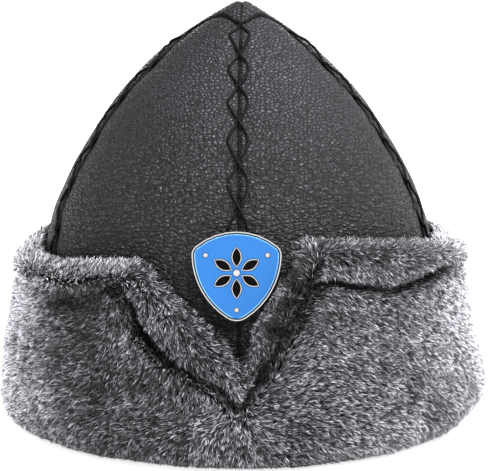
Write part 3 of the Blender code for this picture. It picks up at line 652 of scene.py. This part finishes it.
def dent_relief(along, heights, column):
    """The sum of the dents at these places: their depth in column 4, their painted shade in column 5, painted
    light where negative.
    """
    total = np.zeros(len(along))
    for row in DENTS:
        aside = (along - math.radians(row[0]) * ROUND_RADIUS) / row[2]
        above = (heights - row[1]) / row[3]
        total += row[column] * np.exp(-aside ** 2 - above ** 2)
    return total


def cuff_inside(azimuth, heights):
    """The cuff's inner face, which lies on the crown."""
    down = CROWN_LENGTH - np.interp(heights, CROWN[:, 0], CROWN_TRAVEL)
    points = crown_point(azimuth, down, np.full(len(azimuth), INNER_GAP))
    points[:, 2] = heights
    return points


def cuff_surface(degrees, heights):
    """The surface of the fur at these places, the skin being PILE below it."""
    azimuth = np.radians(degrees)
    along = azimuth * ROUND_RADIUS
    section = rows_at(CUFF, CUFF[:, 0], heights)
    half_width = np.where(np.sin(azimuth) > 0, section[:, 2], section[:, 1])
    full = np.stack((half_width * np.sin(azimuth), -section[:, 3] * np.cos(azimuth), heights), 1)
    inner = cuff_inside(azimuth, heights)
    outward = full - inner
    thickness = np.linalg.norm(outward, axis=1)
    outward = outward / thickness[:, None]
    distance = nearest_on(edge_line, along, heights)[1]
    near = 1 - np.minimum(distance / ROLL_RADIUS, 1)
    roundness = np.sqrt(1 - near * near)
    share, row = crease_share(along, heights)
    swell = 0.0016 * np.exp(-((distance - ROLL_RADIUS) / ROLL_RADIUS) ** 2)
    stand_off = EDGE_THICKNESS + (thickness - EDGE_THICKNESS) * roundness + swell - row[:, 2] * share
    stand_off -= dent_relief(along, heights, 4) * np.minimum(distance / 0.006, 1)
    stand_off += 0.0010 * soft_noise(full, 0.022, 21) * np.minimum(distance / 0.01, 1)
    stand_off += 0.0006 * soft_noise(full, 0.009, 22) * np.minimum(distance / 0.01, 1)
    return inner + outward * np.maximum(stand_off, 0.0010)[:, None]


def wrap(grid):
    """A grid round the cuff with its neighbouring column added at each end."""
    return np.concatenate((grid[-2:-1], grid, grid[1:2]))


SKIN_COLUMNS = 400
SKIN_ROWS = 80
turns = np.linspace(-math.pi, math.pi, SKIN_COLUMNS + 1)
column_degrees = np.degrees(turns - 0.25 * np.sin(turns))
row_share = 1 - (1 - np.linspace(0, 1, SKIN_ROWS + 1)) ** 2
grid_degrees = np.repeat(column_degrees, SKIN_ROWS + 1)
tops = edge_height(column_degrees) - 0.00005
grid_heights = (0.0006 + (tops[:, None] - 0.0006) * row_share[None, :]).ravel()
tip_grid = cuff_surface(grid_degrees, grid_heights).reshape(SKIN_COLUMNS + 1, SKIN_ROWS + 1, 3)
wrapped = wrap(tip_grid)
sideways = wrapped[2:] - wrapped[:-2]
upwards = np.gradient(tip_grid, axis=1)
normal_grid = unit(np.cross(sideways, upwards))
for _ in range(3):
    wrapped = wrap(normal_grid)
    normal_grid = unit(wrapped[2:] + wrapped[:-2] + 2 * normal_grid)
aside_grid = unit(sideways)
up_grid = unit(np.cross(normal_grid, aside_grid))
skin_grid = tip_grid - normal_grid * PILE
skin_grid[:, :, 2] = np.maximum(skin_grid[:, :, 2], 0.0004)

# Polyester knit backing, charcoal, matt, seen only at the roots between the locks.
knit, tree, shader, place = new_material("charcoal_knit_backing")
loops = add_node(tree, "TexVoronoi", inputs={"Vector": place, "Scale": 1 / 0.0014})
bump = add_node(tree, "Bump",
                inputs={"Strength": 0.6, "Distance": 0.0004, "Height": loops.outputs["Distance"]})
fill_inputs(tree, shader, {"Base Color": two_tone(tree, loops.outputs["Distance"], "#151517", "#050506"),
                           "Normal": bump.outputs[0], "Roughness": 0.95, "Specular IOR Level": 0.1})

# The closed section of the skin: under the crown's edge, the floor, the outer face, the top, and down inside.
azimuths = np.radians(column_degrees[:-1])
leather_edge = crown_point(azimuths, np.full(SKIN_COLUMNS, CROWN_LENGTH), np.zeros(SKIN_COLUMNS))
outward = crown_normal(azimuths, np.zeros(SKIN_COLUMNS))
outward[:, 2] = 0
outward = unit(outward)
shelf = CROWN[0, 0] - SEAM_GAP
section = []
for reach, height in ((-0.0028, shelf), (-0.0036, shelf / 2), (-0.0020, 0.0002), (0.0070, 0.0002)):
    point = leather_edge + outward * reach
    point[:, 2] = height
    section.append(point)
section += [skin_grid[:-1, row] for row in range(SKIN_ROWS + 1)]
inner_tops = skin_grid[:-1, -1, 2] - 0.0004
for share in (0.03, 0.10, 0.25, 0.5, 0.75, 1.0):
    section.append(cuff_inside(azimuths, inner_tops - (inner_tops - shelf) * share))
rows = len(section)
rings = np.stack(section, 1)
skin, flat = add_grid("cuff_skin", SKIN_COLUMNS, rows)
ring = np.round(flat[:, 0] * SKIN_COLUMNS).astype(int) % SKIN_COLUMNS
station = np.round(flat[:, 1] * rows).astype(int) % rows
skin.data.vertices.foreach_set("co", rings[ring, station].astype(np.float32).ravel())
bpy.ops.object.mode_set(mode="EDIT")
bpy.ops.mesh.select_all(action="SELECT")
bpy.ops.mesh.remove_doubles(threshold=0.000001)
bpy.ops.mesh.normals_make_consistent(inside=False)
bpy.ops.object.mode_set(mode="OBJECT")
bpy.ops.object.shade_smooth()
skin.data.materials.append(knit)
bpy.ops.object.select_all(action="DESELECT")
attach(skin, "root")
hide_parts("fur_cuff")


# The fur: a dense, soft pile 4 mm long of grizzled polyester, dark at the root and pale grey at the tip. Each
# strand is a narrow bent blade, and strands lean together in fine locks that follow how the fur was brushed.
STRANDS = 384000
STRAND_LENGTH = 0.0042
STRAND_WIDTH = 0.00050
LOCK_SIZE = 0.0009
LEAN_AT_ROOT = 35
LEAN_AT_TIP = 67
DARK_SHARE = 0.30
TIP_BRIGHTNESS = 0.74

# azimuths behind the side seams, from the left round to the right
BEHIND = (-120, -150, -180, 180, 150, 120)

# How the fur was brushed. Azimuth, height, the direction of the tips in degrees from the rightward seen from
# outside (90 is up), tone of the strands, and length. The tone is partly the fur's own grizzle and partly painted
# light and shade: raised along both flanks for their bright band, lowered on the back.
BRUSHED = np.array((
    (-47.7, 0.0827, 25, 1.3, 1.05), (-64, 0.087, 20, 1.05, 1), (-80, 0.089, 200, 0.8, 1),
    (-104, 0.09, 200, 0.75, 1), (-36, 0.0858, 28, 1.3, 1), (-34.1, 0.0916, 70, 1.1, 0.9),
    (-29.4, 0.0909, 60, 0.9, 0.9), (-26.3, 0.0798, -62, 0.95, 1), (-21.3, 0.0739, -45, 0.95, 1),
    (-16.6, 0.0677, -35, 0.82, 1), (-11.8, 0.0594, -26, 0.74, 1.05), (-9.3, 0.0514, -22, 0.78, 1.05),
    (-4.9, 0.0449, -14, 1.1, 1.05), (-1.4, 0.0485, -8, 1, 1.05), (-1.3, 0.0408, -15, 1.2, 1),
    (1.8, 0.0545, 40, 0.85, 0.8), (4.2, 0.0552, 30, 0.75, 1), (1.6, 0.047, 18, 0.95, 0.8),
    (4.5, 0.0628, 60, 0.7, 1.1), (7.1, 0.0641, 50, 0.45, 1), (9.9, 0.0728, 70, 0.5, 1),
    (12.4, 0.0875, 80, 0.4, 1), (9.1, 0.0801, 120, 1, 1.1), (5.5, 0.07, 125, 1, 1.1),
    (15.9, 0.0983, 110, 0.8, 1), (22.7, 0.098, -50, 0.68, 1), (33.7, 0.096, -45, 0.66, 1),
    (47, 0.0927, -45, 0.58, 1), (60.8, 0.0885, -60, 0.85, 1), (21.1, 0.0887, -45, 0.95, 1),
    (37.8, 0.0819, -40, 0.72, 1), (49.7, 0.0866, -35, 0.74, 1), (13.5, 0.07, -50, 0.9, 1),
    (-72.4, 0.0605, 205, 2.35, 1), (-59.9, 0.0651, 207, 1.35, 1), (-48.1, 0.0691, 215, 0.6, 1),
    (-37.9, 0.0718, 225, 0.65, 1), (-29.6, 0.0628, 258, 1, 0.95), (-51.7, 0.0567, 195, 0.9, 1),
    (-39.1, 0.0584, 205, 0.6, 1), (-59.2, 0.0423, 210, 1.2, 1), (-44.4, 0.041, 212, 0.64, 1),
    (-31, 0.0449, 250, 0.54, 1), (-20.9, 0.0449, 275, 0.62, 1), (-13.6, 0.0353, 290, 0.62, 1),
    (-51.8, 0.0221, 220, 1.25, 1), (-37, 0.0277, 225, 0.6, 1), (-24.8, 0.0245, 235, 0.72, 1),
    (-16.5, 0.0219, 215, 0.64, 1), (-6.9, 0.0251, 215, 1, 1), (-0.6, 0.0211, 280, 1.05, 1),
    (5.6, 0.0251, -30, 0.9, 1), (-2.7, 0.0119, 262, 0.78, 1), (-44.6, 0.0109, 225, 0.86, 1),
    (-29.8, 0.0116, 225, 0.64, 1), (-62.9, 0.0266, 215, 1.85, 1), (12.7, 0.0774, -45, 0.75, 0.95),
    (22.9, 0.0754, -40, 0.86, 0.95), (32.8, 0.0692, -35, 0.84, 0.95), (46.5, 0.0698, -40, 0.9, 0.95),
    (63, 0.06, -50, 1.6, 0.95), (14.5, 0.0544, -35, 1, 0.95), (21.9, 0.0537, -32, 1, 0.95),
    (32.7, 0.051, -30, 0.86, 0.95), (45.3, 0.0472, -35, 0.94, 0.95), (61, 0.0376, -55, 1.4, 0.95),
    (12.2, 0.0331, -20, 1.08, 0.95), (21.3, 0.0317, -15, 1, 0.95), (31.2, 0.0293, -25, 1, 0.95),
    (41.4, 0.0302, -40, 0.86, 0.95), (49.2, 0.0232, -40, 0.84, 0.95), (61.3, 0.0178, -50, 1.05, 0.95),
    (11.9, 0.0158, -25, 0.85, 0.95), (23.3, 0.0134, -25, 1.2, 0.95), (36.4, 0.0141, -30, 1.45, 0.95),
    # three rows run round the back, their tone raised at the flanks as painted light and lowered behind as painted
    # shade
    (-88, 0.045, 208, 2.1, 1),
    *((azimuth, 0.045, way, 0.62, 1) for azimuth, way in zip(BEHIND, (218, 238, 270, -90, -55, -42))),
    (87, 0.045, -48, 2, 1), (-88, 0.078, 200, 1.5, 1),
    *((azimuth, 0.078, way, 0.62, 1) for azimuth, way in zip(BEHIND, (215, 240, 270, -90, -55, -42))),
    (86, 0.08, -55, 2.1, 1), (-88, 0.015, 222, 1.9, 1),
    *((azimuth, 0.015, way, 0.62, 1) for azimuth, way in zip(BEHIND, (230, 245, 270, -90, -60, -50))),
    (87, 0.015, -52, 1.8, 1),
))


def brushed_at(along, heights):
    """Direction of the tips as (rightward, upward), tone and length, blended from the nearest rows."""
    turns = np.radians(BRUSHED[:, 2])
    values = np.column_stack((np.cos(turns), np.sin(turns), BRUSHED[:, 3:]))
    places = np.stack((np.radians(BRUSHED[:, 0]) * ROUND_RADIUS, BRUSHED[:, 1]), 1)
    blended = np.empty((len(along), 4))
    for start in range(0, len(along), 20000):
        part = slice(start, start + 20000)
        square = (along[part, None] - places[:, 0]) ** 2 + (heights[part, None] - places[:, 1]) ** 2
        weights = 1 / (square + 0.0030 ** 2) ** 2
        blended[part] = weights @ values / weights.sum(1)[:, None]
    direction = blended[:, :2] / np.maximum(np.linalg.norm(blended[:, :2], axis=1), 1e-9)[:, None]
    return direction, blended[:, 2], blended[:, 3]


def nearest_lock(points, size, seed):
    """For each point the middle of the lock that it belongs to, and the lock's own random numbers."""
    cell = np.floor(points / size + 4096.0)
    best = np.full(len(points), 1e9)
    middle, key = np.zeros((len(points), 3)), np.zeros((len(points), 3))
    for step in np.ndindex(3, 3, 3):
        near = cell + np.array(step) - 1
        spot = np.stack([lattice_random(near, seed + k) for k in range(3)], 1)
        spot = (near - 4096.0 + spot) * size
        square = ((points - spot) ** 2).sum(1)
        closer = square < best
        best[closer] = square[closer]
        middle[closer], key[closer] = spot[closer], near[closer]
    return middle, np.stack([lattice_random(key, seed + 10 + k) for k in range(4)], 1)


rng = np.random.default_rng(1913)
diagonal_a = skin_grid[1:, 1:] - skin_grid[:-1, :-1]
diagonal_b = skin_grid[1:, :-1] - skin_grid[:-1, 1:]
areas = np.linalg.norm(np.cross(diagonal_a, diagonal_b), axis=2) / 2
cell_degrees = (column_degrees[1:] + column_degrees[:-1]) / 2
density = np.interp(np.abs(cell_degrees), (100, 125), (1.0, 0.62))
weights = (areas * density[:, None]).ravel()
chosen = rng.choice(len(weights), STRANDS, p=weights / weights.sum())
column, row = chosen // SKIN_ROWS, chosen % SKIN_ROWS
u, v = rng.random(STRANDS), rng.random(STRANDS)


def on_grid(grid):
    """Values of a grid at the strands' roots."""
    flat = grid.reshape(SKIN_COLUMNS + 1, SKIN_ROWS + 1, -1)
    a, b = flat[column, row], flat[column + 1, row]
    c, d = flat[column, row + 1], flat[column + 1, row + 1]
    uu, vv = u[:, None], v[:, None]
    return (a * (1 - uu) + b * uu) * (1 - vv) + (c * (1 - uu) + d * uu) * vv


roots = on_grid(skin_grid)
normals = unit(on_grid(normal_grid))
aside = unit(on_grid(aside_grid))
up = unit(on_grid(up_grid))
degrees = on_grid(grid_degrees)[:, 0]
heights = on_grid(grid_heights)[:, 0]
along = np.radians(degrees) * ROUND_RADIUS

direction, tone, length = brushed_at(along, heights)
edge_at, edge_far = nearest_on(edge_line, along, heights)
to_edge = edge_line[edge_at] - np.stack((along, heights), 1)
to_edge = to_edge / np.maximum(edge_far, 1e-6)[:, None]
edge_pull = 0.6 * np.exp(-(edge_far / 0.0035) ** 2)
edge_pull = (edge_pull * np.clip(np.abs(degrees - 0.5) / 7, 0.1, 1))[:, None]
direction = direction * (1 - edge_pull) + to_edge * edge_pull

middle, lock = nearest_lock(roots, LOCK_SIZE, 40)
wide_middle, wide_lock = nearest_lock(roots, LOCK_SIZE * 3, 60)
swirl = 0.26 * soft_noise(roots, 0.020, 31) + 0.20 * soft_noise(roots, 0.006, 35)
turn = (swirl + 0.42 * (lock[:, 0] - 0.5) * 2 + 0.26 * (wide_lock[:, 0] - 0.5) * 2
        + 0.18 * rng.standard_normal(STRANDS))
# the right-hand side lies straighter than the left
turn *= np.interp(degrees, (8, 22, 90, 120), (1.0, 0.8, 0.8, 1.0))
cosine, sine = np.cos(turn), np.sin(turn)
direction = np.stack((direction[:, 0] * cosine - direction[:, 1] * sine,
                      direction[:, 0] * sine + direction[:, 1] * cosine), 1)
comb = unit(aside * direction[:, :1] + up * direction[:, 1:])

in_crease, crease_row = crease_share(along, heights)
dent_shade_and_ridge_light = np.clip(dent_relief(along, heights, 5), -0.8, 0.9)
length = STRAND_LENGTH * length * (0.78 + 0.44 * rng.random(STRANDS)) * (0.84 + 0.32 * lock[:, 1])
length *= 1 - 0.45 * in_crease * crease_row[:, 4]
length *= 1 + 0.55 * np.exp(-(edge_far / 0.004) ** 2) * np.clip((np.abs(degrees) - 70) / 15, 0, 1)
length *= np.clip(np.hypot(along - 0.0010, heights - 0.049) / 0.010, 0.45, 1)
lean_low = np.radians(LEAN_AT_ROOT + 10 * rng.standard_normal(STRANDS) + 16 * (lock[:, 2] - 0.5))
lean_high = np.radians(LEAN_AT_TIP + 12 * rng.standard_normal(STRANDS) + 22 * (lock[:, 2] - 0.5))
half = (length / 2)[:, None]
mids = roots + half * (normals * np.cos(lean_low)[:, None] + comb * np.sin(lean_low)[:, None])
ends = mids + half * (normals * np.cos(lean_high)[:, None] + comb * np.sin(lean_high)[:, None])
# a lock draws its strands together sideways, so that each one reads as a single stroke
lean_aside = unit(np.cross(normals, comb))
gather = lean_aside * ((middle - roots) * lean_aside).sum(1)[:, None]
wide_gather = lean_aside * ((wide_middle - roots) * lean_aside).sum(1)[:, None]
mids += 0.20 * gather
ends += 0.45 * gather + 0.05 * wide_gather
for points in (mids, ends):
    low = points[:, 2] < 0.0012
    points[low, 2] = 0.0004 + 0.0012 * rng.random(int(low.sum()))

# Blades are widest at the middle and lie mostly flat on the fur, each turned a little about its own length.
twist = 0.75 * rng.standard_normal(STRANDS)
strand_way = unit(ends - roots)
flat_way = unit(np.cross(strand_way, normals))
edge_way = unit(np.cross(flat_way, strand_way))
width_way = flat_way * np.cos(twist)[:, None] + edge_way * np.sin(twist)[:, None]
# fewer strands are laid behind, so they are wider there, and those on the right are the finest
wider = np.interp(degrees, (-100, -99, 8, 22, 99, 100), (1.25, 1.0, 1.0, 0.88, 0.88, 1.25))
width = STRAND_WIDTH * (0.75 + 0.5 * rng.random(STRANDS)) * wider
half_width = (width / 2)[:, None] * width_way

# Grizzled grey: locks run from charcoal to pale grey, and three strands in ten are dark all along.
calm = np.interp(degrees, (8, 22, 90, 120), (1.0, 0.5, 0.5, 1.0))
mottle = 1 + 0.34 * soft_noise(roots, 0.011, 33) * calm + 0.36 * soft_noise(roots, 0.0040, 34) * calm
lock_tone = 0.14 + 1.60 * lock[:, 3] ** 1.9
# a pale fringe along the right arm of the V
on_right_arm = np.clip(np.minimum(degrees - 1.5, 16 - degrees) / 2, 0, 1)
fringe = 1 + 2.6 * np.exp(-((edge_far - 0.0012) / 0.0014) ** 2) * on_right_arm
# painted shade in the dents and painted light on the ridge
tone = tone ** 1.5 * mottle * lock_tone * fringe * (1 - dent_shade_and_ridge_light)
# painted shadow at the bottom of the sewn crease
tone *= 1 - crease_row[:, 4] * in_crease
dark_strand = rng.random(STRANDS) < DARK_SHARE
shade = np.minimum(np.exp(0.60 * rng.standard_normal(STRANDS)), 2.1) * np.where(dark_strand, 0.10, 1.0)
shade = shade ** np.interp(np.abs(degrees), (90, 115), (1.0, 0.6))
# darker across the front than at the flanks, whose bright band is painted light
tone *= np.interp(degrees, (-72, -55, 5, 58, 72), (1.0, 0.92, 0.80, 0.82, 1.0))
# the lowest centimetre turns under, and at the front its strands are darkened as painted shade
tone *= 1 - 0.34 * np.exp(-heights / 0.010) * np.clip((75 - np.abs(degrees)) / 20, 0, 1)
tip_value = np.clip(TIP_BRIGHTNESS * tone * shade, 0.004, 0.95)
# the flanks' strands are paler from lower down, painted light for the bright band along the sides
painted_flank_light = np.clip((np.abs(degrees) - 62) / 16, 0, 1)
mid_value = np.clip((0.100 + 0.12 * painted_flank_light) * tone * shade, 0.003, 0.60)
root_value = np.full(STRANDS, 0.003)
tint = np.array((1.0, 0.985, 1.055))

vertices = np.stack((roots, mids - half_width, mids + half_width, ends), 1)
values = np.stack((root_value, mid_value, mid_value, tip_value), 1)

# No strand lies over the badge, whose outline is where three discs overlap: across, up, radius on its face.
badge_low, badge_high = (Vector(corner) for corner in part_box("badge_plate"))
BADGE_MIDDLE = (badge_low + badge_high) / 2
BADGE_TILT = math.radians(9)
BADGE_DISCS = ((0.0, -0.0086, 0.0285), (0.0140, 0.01005, 0.0340), (-0.0140, 0.01005, 0.0340))
clear_of_badge = np.ones(STRANDS, bool)
for points in (mids, ends):
    aside_of = points[:, 0] - BADGE_MIDDLE.x
    above = (points[:, 2] - BADGE_MIDDLE.z) / math.cos(BADGE_TILT)
    covered = points[:, 1] < 0
    for across, up_by, radius in BADGE_DISCS:
        covered &= np.hypot(aside_of - across, above - up_by) < radius + 0.0003
    clear_of_badge &= ~covered

# Grizzled polyester fur: a soft satin gloss along each fibre, coloured by the strand's own tone.
fur, tree, shader, place = new_material("grizzled_grey_faux_fur")
strand_tone = add_node(tree, "Attribute", {"attribute_name": "strand_tone"})
flecks = add_node(tree, "TexNoise", inputs={"Vector": place, "Scale": 1 / 0.0016, "Detail": 1.0})
flecked = add_node(tree, "VectorMath", {"operation": "SCALE"},
                   {0: strand_tone.outputs["Color"],
                    "Scale": map_range(tree, flecks.outputs["Fac"], 0.0, 1.0, 0.82, 1.18)})
fill_inputs(tree, shader, {"Base Color": flecked.outputs[0], "Roughness": 0.55, "Specular IOR Level": 0.35})

FUR_PARTS = (("back_left", -180, -100), ("left", -100, -33), ("front", -33, 33), ("right", 33, 100),
             ("back_right", 100, 180))
for part, start, end in FUR_PARTS:
    picked = (degrees >= start) & (degrees < end) & clear_of_badge
    count = int(picked.sum())
    mesh = bpy.data.meshes.new(f"fur_{part}")
    mesh.vertices.add(count * 4)
    mesh.vertices.foreach_set("co", vertices[picked].astype(np.float32).ravel())
    mesh.loops.add(count * 6)
    pattern = np.array((0, 2, 1, 1, 2, 3))
    mesh.loops.foreach_set("vertex_index", (np.arange(count)[:, None] * 4 + pattern).ravel().astype(np.int32))
    mesh.polygons.add(count * 2)
    mesh.polygons.foreach_set("loop_start", (np.arange(count * 2) * 3).astype(np.int32))
    mesh.update()
    colours = np.concatenate((values[picked].reshape(-1, 1) * tint, np.ones((count * 4, 1))), 1)
    stored = mesh.color_attributes.new("strand_tone", "FLOAT_COLOR", "POINT")
    stored.data.foreach_set("color", colours.astype(np.float32).ravel())
    mesh.shade_smooth()
    tufts = bpy.data.objects.new(f"fur_{part}", mesh)
    bpy.context.scene.collection.objects.link(tufts)
    mesh.materials.append(fur)
    fur_flanks.objects.link(tufts)
    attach(tufts, "root")


# The badge: a stamped plate, nickel plated and polished, whose well is filled with fired blue enamel round the
# metal of a six-petalled rosette. Its post passes through the crown beside the front seam.
BADGE_FACE_WAY = Vector((0, -math.cos(BADGE_TILT), math.sin(BADGE_TILT)))
face_height = max(vertex.co.dot(BADGE_FACE_WAY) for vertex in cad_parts["badge_plate"].data.vertices)

# Polished nickel plate: a bright mirror on its face, and below it, in the gap and the petals, rougher and painted
# near black as painted shade.
nickel, tree, shader, place = new_material("polished_nickel_plate")
haze = add_node(tree, "TexNoise", inputs={"Vector": place, "Scale": 1 / 0.004, "Detail": 3.0})
plating = two_tone(tree, haze.outputs["Fac"], "#DCDBD8", "#EFEEEC")
outward_reach = add_node(tree, "VectorMath", {"operation": "DOT_PRODUCT"}, {0: place, 1: BADGE_FACE_WAY})
polished_unshaded_face = map_range(tree, outward_reach.outputs["Value"], face_height - 0.0005, face_height - 0.00015,
                     kind="SMOOTHSTEP")
metal = add_node(tree, "Mix", {"data_type": "RGBA"}, {"Factor": polished_unshaded_face, 6: linear("#141213"), 7: plating})
fill_inputs(tree, shader, {"Base Color": metal.outputs[2], "Metallic": 1.0,
                           "Roughness": map_range(tree, polished_unshaded_face, 0.0, 1.0, 0.50, 0.16)})

# Fired enamel: glassy sky blue with the faint unevenness of a hand-filled well, and a pale blue band along its
# edge that is a painted highlight, for the light its rounded lip would catch.
enamel, tree, shader, place = new_material("fired_sky_blue_enamel")
pooled = add_node(tree, "TexNoise", inputs={"Vector": place, "Scale": 1 / 0.009, "Detail": 2.0})
fired = two_tone(tree, pooled.outputs["Fac"], "#135C9F", "#1A64A8")
past_edge = -1.0
for across, up_by, radius in BADGE_DISCS:
    disc_middle = BADGE_MIDDLE + Vector((across, up_by * math.sin(BADGE_TILT), up_by * math.cos(BADGE_TILT)))
    disc_middle += BADGE_FACE_WAY * (face_height - disc_middle.dot(BADGE_FACE_WAY))
    from_middle = add_node(tree, "VectorMath", {"operation": "DISTANCE"}, {0: place, 1: disc_middle})
    past_disc = maths(tree, "SUBTRACT", from_middle.outputs["Value"], radius)
    past_edge = maths(tree, "MAXIMUM", past_edge, past_disc)
painted_edge_highlight = map_range(tree, past_edge, -0.0018, -0.0012, 0.0, 0.8, "SMOOTHSTEP")
edge_highlighted = add_node(tree, "Mix", {"data_type": "RGBA"}, {"Factor": painted_edge_highlight, 6: fired, 7: linear("#7FB6E4")})
ripple = add_node(tree, "Bump", inputs={"Strength": 0.15, "Distance": 0.0003, "Height": pooled.outputs["Fac"]})
fill_inputs(tree, shader, {"Base Color": edge_highlighted.outputs[2], "Normal": ripple.outputs[0], "Roughness": 0.12,
                           "IOR": 1.52})

for node, finish in (("badge_plate", nickel), ("badge_post", nickel), ("badge_enamel", enamel)):
    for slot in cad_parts[node].material_slots:
        slot.material = finish
